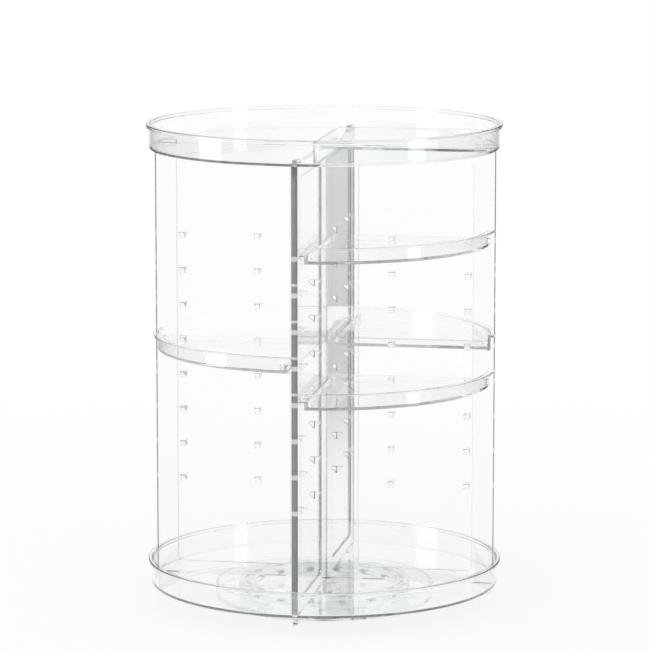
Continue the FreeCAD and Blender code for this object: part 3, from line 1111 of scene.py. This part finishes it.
@dataclass
class Divider:
    """Upright panel with a raised border, tabs at both ends and nubs on both faces."""

    bottom: RoundTray
    top: RoundTray
    end_play: float = mm(0.2)
    mitre_tip: float = mm(0.07)
    panel: float = mm(2.4)
    border: float = mm(4.0)
    border_outer: float = mm(14.3)
    border_inner: float = mm(23.0)
    border_end: float = mm(8.0)
    pocket_round: float = mm(3.0)
    corner_round: float = mm(1.0)
    outer_tab_inset: float = mm(1.5)
    outer_tab_width: float = mm(12.5)
    inner_tab_start: float = mm(26.0)
    inner_tab_width: float = mm(14.0)
    tab_drop: float = mm(5.8)
    tab_rise: float = mm(2.2)
    tab_round: float = mm(1.0)
    inner_tab_shy: float = mm(0.2)
    nub_levels: int = 8
    nub_first: float = mm(66.9)
    nub_pitch: float = mm(23.4)
    nub_reach: float = mm(3.8)
    nub_width: float = mm(4.0)
    nub_height: float = mm(5.0)
    nub_tip: float = mm(1.0)
    nub_gap: float = mm(1.6)
    nub_inner: float = mm(45.0)
    nub_round: float = mm(0.25)
    edge_radius: float = mm(0.15)

    @property
    def end_r(self) -> float:
        """Distance of the outer end from the axis."""
        return self.bottom.inner_r - self.end_play

    @property
    def outer_tab(self) -> Tab:
        """Long tab near the tray's wall."""
        return Tab(self.end_r - self.outer_tab_inset - self.outer_tab_width, self.outer_tab_width)

    @property
    def inner_tab(self) -> Tab:
        """Short tab near the axis."""
        return Tab(self.inner_tab_start, self.inner_tab_width)

    @property
    def pocket_end(self) -> float:
        """Where the raised border's outer stile begins."""
        return self.end_r - self.border_outer

    def stock(self) -> Object:
        """Panel along +X with its border pockets, outer corners and mitred inner end.

        Returns:
            The panel.
        """
        low_z = self.bottom.floor_z + SEAT_AIR
        high_z = self.top.under_z - SEAT_AIR
        half = self.border / 2
        depth = (self.border - self.panel) / 2
        panel = block("divider", Vector((0, -half, low_z)), Vector((self.end_r, half, high_z)))
        pocket_low = low_z + self.border_end
        pocket_high = high_z - self.border_end
        with editing(panel, everything=True):
            for place, normal in (
                ((self.border_inner, 0, 0), (1, 0, 0)),
                ((self.pocket_end, 0, 0), (1, 0, 0)),
                ((0, 0, pocket_low), (0, 0, 1)),
                ((0, 0, pocket_high), (0, 0, 1)),
            ):
                bpy.ops.mesh.select_all(action="SELECT")
                bpy.ops.mesh.bisect(plane_co=place, plane_no=normal)
            pick_faces(panel, lambda c, n: abs(n.y) > SQUARE_ON and self.border_inner < c.x < self.pocket_end
                       and pocket_low < c.z < pocket_high)
            bpy.ops.mesh.extrude_region_shrink_fatten(TRANSFORM_OT_shrink_fatten={"value": -depth})
            pick_edges(panel, lambda a, b: self.is_pocket_corner(a, b, pocket_low, pocket_high))
            bpy.ops.mesh.bevel(offset=self.pocket_round, segments=FILLET_FACETS, affect="EDGES")
            pick_edges(panel, lambda a, b: min(a.x, b.x) > self.end_r - MERGE and abs(a.z - b.z) < MERGE
                       and (a.z < low_z + MERGE or a.z > high_z - MERGE))
            bpy.ops.mesh.bevel(offset=self.corner_round, segments=FILLET_FACETS, affect="EDGES")
            for lean in (1, -1):
                bpy.ops.mesh.select_all(action="SELECT")
                bpy.ops.mesh.bisect(plane_co=(self.mitre_tip, 0, 0), plane_no=(1, lean, 0),
                                    use_fill=True, clear_inner=True)
            close_up()
        return panel

    def is_pocket_corner(self, a: Vector, b: Vector, low: float, high: float) -> bool:
        """True for the four short edges in the corners of each pocket, which run along Y.

        Args:
            a: one end of the edge.
            b: its other end.
            low: height of the pockets' lower side.
            high: height of their upper side.

        Returns:
            Whether it is such an edge.
        """
        at_side = min(abs(a.x - self.border_inner), abs(a.x - self.pocket_end)) < MERGE
        at_end = min(abs(a.z - low), abs(a.z - high)) < MERGE
        crosses = abs(a.y - b.y) < self.border / 4 and abs(a.y - b.y) > MERGE
        return at_side and at_end and crosses

    def tabs(self) -> list[Object]:
        """Tabs at both ends; the long ones have rounded outer corners.

        Returns:
            The tabs as separate solids.
        """
        foot_z = self.bottom.under_z - self.tab_drop
        head_z = self.top.floor_z + self.tab_rise
        low_root = self.bottom.floor_z + OVERLAP
        high_root = self.top.under_z - OVERLAP
        made = []
        for low, high, tip in ((foot_z, low_root, foot_z), (high_root, head_z, head_z)):
            tab = self.outer_tab.solid(low, high)
            with editing(tab):
                pick_edges(tab, lambda a, b: abs(a.z - tip) < MERGE and abs(b.z - tip) < MERGE
                           and abs(a.x - b.x) < MERGE)
                bpy.ops.mesh.bevel(offset=self.tab_round, segments=FILLET_FACETS, affect="EDGES")
            made.append(tab)
        made.append(self.inner_tab.solid(self.bottom.under_z + self.inner_tab_shy, low_root))
        made.append(self.inner_tab.solid(high_root, self.top.floor_z - self.inner_tab_shy))
        return made

    def nub(self, top_z: float) -> Object:
        """Gusset on the +Y face at the axis, with a flat top and a sloping underside.

        Args:
            top_z: height of its flat top.

        Returns:
            The gusset.
        """
        root = self.panel / 2
        tip = root + self.nub_reach
        low = Vector((-self.nub_width / 2, root - self.panel / 4, top_z - self.nub_height))
        nub = block("nub", low, Vector((self.nub_width / 2, tip, top_z)))
        rise = self.nub_height - self.nub_tip
        with editing(nub):
            pick_points(nub, lambda p: p.y > tip - MERGE and p.z < top_z - MERGE)
            bpy.ops.transform.translate(value=(0, 0, rise))
            pick_edges(nub, lambda a, b: max(a.y, b.y) > tip - MERGE)
            bpy.ops.mesh.bevel(offset=self.nub_round, segments=EDGE_FACETS, affect="EDGES")
        return nub

    def nubs(self) -> list[Object]:
        """Two columns of nubs on both faces.

        Returns:
            The nubs as separate solids.
        """
        outer = self.pocket_end - self.nub_gap - self.nub_width / 2
        made = []
        for level in range(self.nub_levels):
            top_z = self.bottom.floor_z + self.nub_first + self.nub_pitch * level
            front = self.nub(top_z)
            back = copy_turned(front, "nub", 180)
            for at in (self.nub_inner, outer):
                made.append(shift(copy_turned(front, "nub", 0), Vector((at, 0, 0))))
                made.append(shift(copy_turned(back, "nub", 0), Vector((at, 0, 0))))
            bpy.data.objects.remove(front)
            bpy.data.objects.remove(back)
        return made

    def build(self, finishes: Finishes) -> None:
        """Make one divider, copy it to the four sides and put them on the carousel.

        Args:
            finishes: the finishes to choose from.
        """
        pattern = round_edges(self.stock(), self.edge_radius)
        tabs = [round_edges(tab, self.edge_radius) for tab in self.tabs()]
        weld(pattern, [*tabs, *self.nubs()], Weld.JOIN)
        shade(pattern)
        for side in Side:
            name = side.name.lower()
            panel = copy_turned(pattern, f"divider_{name}_panel", side.value)
            # the panel's ends carry painted shade and painted light bars
            finishes.coat(panel, finishes.ground)
            mount(panel, Body.CAROUSEL.value, f"divider_{name}")
        bpy.data.objects.remove(pattern)


# ------------------------------------------------------------------ quarter trays
@dataclass
class QuarterTray:
    """Quarter basin that hangs by side flanges on the nubs, with a higher curved front."""

    divider: Divider
    wall: float = mm(1.6)
    floor: float = mm(2.0)
    hang: float = mm(4.5)
    seat_play: float = mm(0.2)
    side_play: float = mm(0.4)
    flange: float = mm(1.0)
    lip_out: float = mm(2.7)
    lip_thick: float = mm(1.6)
    lip_round: float = mm(0.5)
    lip_shy: float = mm(0.3)
    corner: float = mm(6.0)
    bottom_round: float = mm(1.0)
    above_side: float = mm(0.3)
    above_corner: float = mm(0.2)
    edge_radius: float = mm(0.2)
    places: tuple[tuple[str, Sector], ...] = (
        ("tray_front_right_upper", Sector.FRONT_RIGHT),
        ("tray_front_right_lower", Sector.FRONT_RIGHT),
        ("tray_front_left", Sector.FRONT_LEFT),
        ("tray_back_right", Sector.BACK_RIGHT),
    )

    @property
    def height(self) -> float:
        """Height of a tray from its bottom to its rim."""
        low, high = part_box(self.places[0][0])
        return high.z - low.z

    @property
    def lip_r(self) -> float:
        """Radius of the lip."""
        return self.divider.end_r - self.lip_shy

    @property
    def wall_r(self) -> float:
        """Outer radius of the curved front wall."""
        return self.lip_r - self.lip_out

    @property
    def inner_r(self) -> float:
        """Inner radius of the curved front wall."""
        return self.wall_r - self.wall

    @property
    def flange_side(self) -> float:
        """Distance of the flanges' edges from the divider planes."""
        return self.divider.border / 2 + self.side_play

    @property
    def basin_side(self) -> float:
        """Distance of the basin's straight sides from the divider planes."""
        return self.divider.panel / 2 + self.divider.nub_reach + self.side_play

    @property
    def flange_z(self) -> float:
        """Height of the flanges' underside above the tray's bottom."""
        return self.hang + self.seat_play

    def front(self) -> Object:
        """Curved front wall with its lip, a spun section from divider to divider.

        Returns:
            The wall.
        """
        lip_z = self.height - self.lip_thick
        section = trace_section("front", [
            Corner(self.inner_r - self.side_play, 0),
            Corner(self.wall_r, 0, self.bottom_round),
            Corner(self.wall_r, lip_z),
            Corner(self.lip_r, lip_z, self.lip_round),
            Corner(self.lip_r, self.height, self.lip_round),
            Corner(self.inner_r - self.side_play, self.height),
        ])
        start = math.asin(self.flange_side / self.wall_r)
        sweep = math.pi / 2 - 2 * start
        return spin_part(section, start, sweep, round(sweep / math.tau * ROUND_FACETS))

    def basin(self) -> Object:
        """Prism of the basin's outer shape, its straight bottom edges rounded.

        Returns:
            The prism.
        """
        radius = self.inner_r + self.side_play
        outline = quarter_outline(self.basin_side, radius, 0, self.corner, 0)
        solid = raise_prism(trace("basin", outline), self.flange_z + self.flange)
        limit = radius - 2 * self.bottom_round
        with editing(solid):
            pick_edges(solid, lambda a, b: max(a.z, b.z) < MERGE
                       and min(a.xy.length, b.xy.length) < limit)
            bpy.ops.mesh.bevel(offset=self.bottom_round, segments=SOFT_FACETS, affect="EDGES")
        return solid

    def flange_plate(self) -> Object:
        """Plate that reaches out over the nubs on both sides.

        Returns:
            The plate.
        """
        radius = self.inner_r + self.side_play / 2
        near = self.corner + self.basin_side - self.flange_side
        outline = quarter_outline(self.flange_side, radius, self.flange_z, near, 0)
        return raise_prism(trace("flange", outline), self.flange)

    def hollow(self) -> Object:
        """Cutter for the basin's inside.

        Returns:
            The cutter.
        """
        corner = self.corner - self.wall
        outline = quarter_outline(self.basin_side + self.wall, self.inner_r, self.floor, corner, corner)
        return raise_prism(trace("hollow", outline), self.height)

    def sweep_above(self) -> Object:
        """Cutter that clears the space above the flanges back to the front wall.

        Returns:
            The cutter.
        """
        low = self.flange_z + self.flange
        outline = quarter_outline(self.above_side, self.inner_r, low, self.above_corner, 0)
        return raise_prism(trace("above", outline), self.height)

    def build(self, finishes: Finishes) -> None:
        """Make one tray, copy it to its places and put each on its own body.

        Args:
            finishes: the finishes to choose from.
        """
        pattern = self.front()
        weld(pattern, [self.basin()], Weld.JOIN)
        weld(pattern, [self.flange_plate()], Weld.JOIN)
        weld(pattern, [self.sweep_above()], Weld.CUT)
        weld(pattern, [self.hollow()], Weld.CUT)
        shade(round_edges(pattern, self.edge_radius))
        for node, sector in self.places:
            tray = copy_turned(pattern, f"{node}_shell", sector.value)
            shift(tray, Vector((0, 0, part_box(node)[0].z)))
            finishes.coat(tray, finishes.clear)
            mount(tray, f"{node}_body", node)
        bpy.data.objects.remove(pattern)


# ------------------------------------------------------------------ turntable
@dataclass
class Turntable:
    """Clear base disc with a skirt and hub, ball races, balls in their cage, pivot and pads."""

    floor: float = mm(2.4)
    skirt: float = mm(2.0)
    edge_round: float = mm(1.0)
    skirt_round: float = mm(0.66)
    hub_r: float = mm(11.05)
    hub_bore: float = mm(5.05)
    hub_height: float = mm(7.3)
    hub_round: float = mm(0.8)
    recess_r: float = mm(8.5)
    recess_depth: float = mm(2.25)
    pad_recess: float = mm(1.0)
    pad_play: float = mm(0.1)
    groove_r: float = mm(3.2)
    groove_depth: float = mm(1.4)
    cage_hole_play: float = mm(0.1)
    ball_count: int = 16
    pads: int = 6
    edge_radius: float = mm(0.2)

    def base(self) -> Object:
        """Base disc, spun from its section, with a seat for each foot pad.

        Returns:
            The disc.
        """
        low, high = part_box("turntable_base")
        floor_z = low.z + self.floor
        radius = high.x
        section = trace_section("turntable_base_shell", [
            Corner(self.recess_r, low.z),
            Corner(self.recess_r, low.z + self.recess_depth),
            Corner(self.hub_bore, low.z + self.recess_depth),
            Corner(self.hub_bore, floor_z + self.hub_height),
            Corner(self.hub_r, floor_z + self.hub_height, self.hub_round),
            Corner(self.hub_r, floor_z, self.hub_round),
            Corner(radius - self.skirt, floor_z, self.edge_round),
            Corner(radius - self.skirt, high.z, self.skirt_round),
            Corner(radius, high.z, self.skirt_round),
            Corner(radius, low.z, self.edge_round),
        ])
        disc = spin_round(section)
        seats = []
        for i in range(1, self.pads + 1):
            pad_low, pad_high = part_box(f"foot_pad_{i}")
            centre = (pad_low + pad_high) / 2
            radius = (pad_high.x - pad_low.x) / 2 + self.pad_play
            start = Vector((centre.x, centre.y, low.z - OVERLAP))
            seats.append(rod("seat", radius, start, OVERLAP + self.pad_recess + SEAT_AIR))
        weld(disc, seats, Weld.CUT)
        return disc

    def race(self, name: str, node: str, groove_up: bool) -> Object:
        """Ball race: a ring with a round groove in its upper or its lower face.

        Args:
            name: name of the new object.
            node: the frame node that gives its size.
            groove_up: whether the groove is in the upper face.

        Returns:
            The ring.
        """
        low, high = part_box(node)
        inner = self.race_inner(node)
        middle = (inner + high.x) / 2
        half = math.sqrt(self.groove_r**2 - (self.groove_r - self.groove_depth) ** 2)
        sign = 1 if groove_up else -1
        mouth = high.z if groove_up else low.z
        flat = low.z + SEAT_AIR if groove_up else high.z - SEAT_AIR
        centre_z = mouth + sign * (self.groove_r - self.groove_depth)
        span = math.asin(half / self.groove_r)
        groove = []
        for i in range(GROOVE_FACETS + 1):
            a = -span + 2 * span * i / GROOVE_FACETS
            groove.append(Corner(middle + self.groove_r * math.sin(a),
                                 centre_z - sign * self.groove_r * math.cos(a)))
        corners = [Corner(inner, flat), Corner(inner, mouth), *groove, Corner(high.x, mouth),
                   Corner(high.x, flat)]
        return spin_round(trace_section(name, corners))

    def race_inner(self, node: str) -> float:
        """Inner radius of a ring node, read from its mesh."""
        return min(v.co.xy.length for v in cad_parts[node].data.vertices)

    def cage(self) -> Object:
        """Ring with a hole for each ball.

        Returns:
            The ring.
        """
        low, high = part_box("ball_cage")
        inner = self.race_inner("ball_cage")
        ring = spin_round(trace_section("ball_cage_ring", [
            Corner(inner, low.z), Corner(high.x, low.z), Corner(high.x, high.z), Corner(inner, high.z)]))
        ball_low, ball_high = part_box("bearing_balls")
        hole_r = (ball_high.z - ball_low.z) / 2 + self.cage_hole_play
        path = (inner + high.x) / 2
        holes = []
        for i in range(self.ball_count):
            a = math.tau * i / self.ball_count
            start = Vector((path * math.cos(a), path * math.sin(a), low.z - OVERLAP))
            holes.append(rod("hole", hole_r, start, high.z - low.z + 2 * OVERLAP))
        weld(ring, holes, Weld.CUT)
        return ring

    def build(self, finishes: Finishes) -> None:
        """Make the clear pieces, put them on their bodies, and dress the frame's own nodes.

        Args:
            finishes: the finishes to choose from.
        """
        base = self.base()
        made = [
            (base, Body.STAND, "turntable_base"),
            (self.race("lower_race_ring", "lower_race", True), Body.STAND, "lower_race"),
            (self.race("upper_race_ring", "upper_race", False), Body.CAROUSEL, "upper_race"),
            (self.cage(), Body.BEARING, "ball_cage"),
        ]
        for piece, body, node in made:
            shade(round_edges(piece, self.edge_radius))
            finishes.coat(piece, finishes.pale)
            mount(piece, body.value, node)
        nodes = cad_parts
        finishes.coat(nodes["bearing_balls"], finishes.ball)
        finishes.coat(nodes["pivot_screw"], finishes.steel)
        finishes.coat(nodes["pivot_washer"], finishes.steel)
        for i in range(1, self.pads + 1):
            finishes.coat(nodes[f"foot_pad_{i}"], finishes.bumper)
        log.info("frame nodes dressed: balls, screw, washer and %d foot pads", self.pads)


# ------------------------------------------------------------------ studio
def direction(azimuth: float, elevation: float) -> Vector:
    """Unit vector from the object towards a viewer or lamp.

    Args:
        azimuth: degrees from the front, -Y, anticlockwise seen from above.
        elevation: degrees above the level.

    Returns:
        The vector, one metre long.
    """
    a, e = math.radians(azimuth), math.radians(elevation)
    return Vector((math.sin(a) * math.cos(e), -math.cos(a) * math.cos(e), math.sin(e)))


@dataclass
class SoftBox:
    """Rectangular studio lamp that faces the object."""

    name: str
    azimuth: float
    elevation: float
    distance: float
    width: float
    height: float
    radiance: float

    def place(self, target: Vector) -> None:
        """Put the lamp up, with a power that gives it its radiance.

        Args:
            target: what the lamp faces.
        """
        data = bpy.data.lights.new(self.name, "AREA")
        data.shape = "RECTANGLE"
        data.size = self.width
        data.size_y = self.height
        data.energy = self.radiance * math.pi * self.width * self.height
        lamp = bpy.data.objects.new(self.name, data)
        bpy.context.scene.collection.objects.link(lamp)
        back = direction(self.azimuth, self.elevation)
        lamp.location = target + back * self.distance
        lamp.rotation_euler = back.to_track_quat("Z", "Y").to_euler()


@dataclass
class Studio:
    """Pale floor, soft lamps, white surroundings and the camera."""

    aim_height: float = 0.18513
    camera_azimuth: float = CAMERA_AZIMUTH
    camera_elevation: float = 8.975
    camera_distance: float = 2.4695
    camera_reach: float = 50
    lens: float = 206.6
    shift_x: float = 0.001
    floor_radius: float = 1.0
    floor_facets: int = 96
    floor_colour: str = "#f2f2f2"
    shadow_share: float = 0.15
    shadow_fade: tuple[float, float] = (0.25, 0.95)
    mirror_fade: tuple[float, float] = (0.3, 0.95)
    ambient: float = 0.85
    room_grey: float = 0.08
    room_stops: tuple[float, float, float, float] = (0.005, 0.035, 0.88, 0.97)
    clear_bounces: int = 64
    gap_bounces: int = 16
    # name, azimuth, elevation, distance, width, height and radiance
    boxes: tuple[SoftBox, ...] = (
        SoftBox("left strip", CAMERA_AZIMUTH - 77.4, 12, 1.5, 0.49, 1.3, 1.9),
        SoftBox("right strip", CAMERA_AZIMUTH + 61.6, 12, 1.5, 0.27, 1.3, 1.9),
        SoftBox("overhead", CAMERA_AZIMUTH - 20, 70, 1.6, 0.9, 0.9, 1.4),
    )

    @property
    def aim(self) -> Vector:
        """Point that the camera and the lamps face."""
        return Vector((0, 0, self.aim_height))

    def background_rays(self, tree: NodeTree) -> tuple[NodeSocket, NodeSocket]:
        """Factors for the kinds of rays that meet the white background.

        Args:
            tree: the node tree that the factors are for.

        Returns:
            A factor that is 1 for camera and transmitted rays, and one that is 1 for glossy rays.
        """
        rays = add_node(tree, "ShaderNodeLightPath").outputs
        through = calc(tree, "MAXIMUM", rays["Is Camera Ray"], rays["Is Transmission Ray"])
        return through, rays["Is Glossy Ray"]

    def floor_fade(self, tree: NodeTree, reach: NodeSocket, shares: tuple[float, float],
                   to: tuple[float, float]) -> NodeSocket:
        """Value that eases from one to another between two shares of the floor's radius."""
        span = (self.floor_radius * shares[0], self.floor_radius * shares[1])
        return spread(tree, reach, to, span, interpolation_type="SMOOTHSTEP")

    def surroundings(self) -> None:
        """White to the eye and through the plastic; in reflections the room's two sides are grey."""
        world = bpy.data.worlds.new("studio")
        bpy.context.scene.world = world
        world.use_nodes = True
        tree = world.node_tree
        tree.nodes.clear()
        through, glossy = self.background_rays(tree)
        place = add_node(tree, "ShaderNodeTexCoord").outputs["Generated"]
        towards = direction(self.camera_azimuth, 0)
        forward = add_node(tree, "ShaderNodeVectorMath", {0: place, 1: towards}, operation="DOT_PRODUCT")
        room = add_node(tree, "ShaderNodeValToRGB", {
            0: spread(tree, forward.outputs["Value"], (0.0, 1.0), (-1.0, 1.0))})
        white = linear("#ffffff")
        grey = (self.room_grey, self.room_grey, self.room_grey, 1)
        stops = room.color_ramp.elements
        first, grey_from, grey_to, last = self.room_stops
        stops[0].position = first
        stops[0].color = white
        stops[1].position = last
        stops[1].color = white
        stops.new(grey_from).color = grey
        stops.new(grey_to).color = grey
        lit = add_node(tree, "ShaderNodeBackground", {"Color": white, "Strength": self.ambient})
        shine = add_node(tree, "ShaderNodeBackground", {"Color": room.outputs["Color"], "Strength": 1.0})
        plain = add_node(tree, "ShaderNodeBackground", {"Color": white, "Strength": 1.0})
        mirrored = add_node(tree, "ShaderNodeMixShader", {
            0: glossy, 1: lit.outputs[0], 2: shine.outputs[0]})
        seen = add_node(tree, "ShaderNodeMixShader", {
            0: through, 1: mirrored.outputs[0], 2: plain.outputs[0]})
        add_node(tree, "ShaderNodeOutputWorld", {"Surface": seen.outputs[0]})

    def floor(self) -> None:
        """Pale round floor that fades into the white surroundings and keeps a soft shadow."""
        bpy.ops.object.select_all(action="DESELECT")
        bpy.ops.mesh.primitive_circle_add(
            vertices=self.floor_facets, radius=self.floor_radius, fill_type="NGON")
        disc = bpy.context.object
        disc.name = "studio_floor"
        material, tree, output, place = new_material("matt white paper")
        through, glossy = self.background_rays(tree)
        reach = add_node(tree, "ShaderNodeVectorMath", {0: place}, operation="LENGTH").outputs["Value"]
        # 0 is the factor, and 2 and 3 are the two values
        share = add_node(tree, "ShaderNodeMix", {
            0: calc(tree, "MAXIMUM", through, glossy), 2: 1.0,
            3: self.floor_fade(tree, reach, self.shadow_fade, (self.shadow_share, 0.0))},
            data_type="FLOAT")
        paper = add_node(tree, "ShaderNodeBsdfDiffuse", {"Color": linear(self.floor_colour)})
        glow = add_node(tree, "ShaderNodeEmission", {"Color": linear("#ffffff"), "Strength": 1.0})
        mixed = add_node(tree, "ShaderNodeMixShader", {
            0: share.outputs[0], 1: glow.outputs[0], 2: paper.outputs[0]})
        edge = self.floor_fade(tree, reach, self.mirror_fade, (0.0, 1.0))
        gone = add_node(tree, "ShaderNodeBsdfTransparent")
        shown = add_node(tree, "ShaderNodeMixShader", {
            0: calc(tree, "MULTIPLY", glossy, edge), 1: mixed.outputs[0], 2: gone.outputs[0]})
        tree.links.new(shown.outputs[0], output.inputs["Surface"])
        disc.data.materials.append(material)

    def camera(self) -> None:
        """Camera at the viewing angle, far off with a long lens."""
        data = bpy.data.cameras.new("camera")
        data.lens = self.lens
        data.shift_x = self.shift_x
        data.clip_end = self.camera_reach
        camera = bpy.data.objects.new("camera", data)
        bpy.context.scene.collection.objects.link(camera)
        back = direction(self.camera_azimuth, self.camera_elevation)
        camera.location = self.aim + back * self.camera_distance
        camera.rotation_euler = (-back).to_track_quat("-Z", "Y").to_euler()
        bpy.context.scene.camera = camera

    def build(self) -> None:
        """Set up everything round the object."""
        scene = bpy.context.scene
        scene.view_settings.view_transform = "Standard"
        scene.cycles.max_bounces = self.clear_bounces
        scene.cycles.transmission_bounces = self.clear_bounces
        scene.cycles.glossy_bounces = self.clear_bounces
        scene.cycles.transparent_max_bounces = self.gap_bounces
        self.camera()
        self.surroundings()
        self.floor()
        for box in self.boxes:
            box.place(self.aim)
        log.info("studio ready with %d lamps", len(self.boxes))


def main() -> None:
    """Build every sub-assembly in order, then the studio."""
    logging.basicConfig(level=logging.INFO, format="%(name)s: %(message)s")
    finishes = Finishes()
    bottom = BottomTray()
    top = TopTray()
    divider = Divider(bottom, top)
    tabs = (divider.outer_tab, divider.inner_tab)
    Turntable().build(finishes)
    bottom.build(finishes, tabs)
    divider.build(finishes)
    QuarterTray(divider).build(finishes)
    top.build(finishes, tabs)
    Studio().build()


if __name__ == "__main__":
    main()
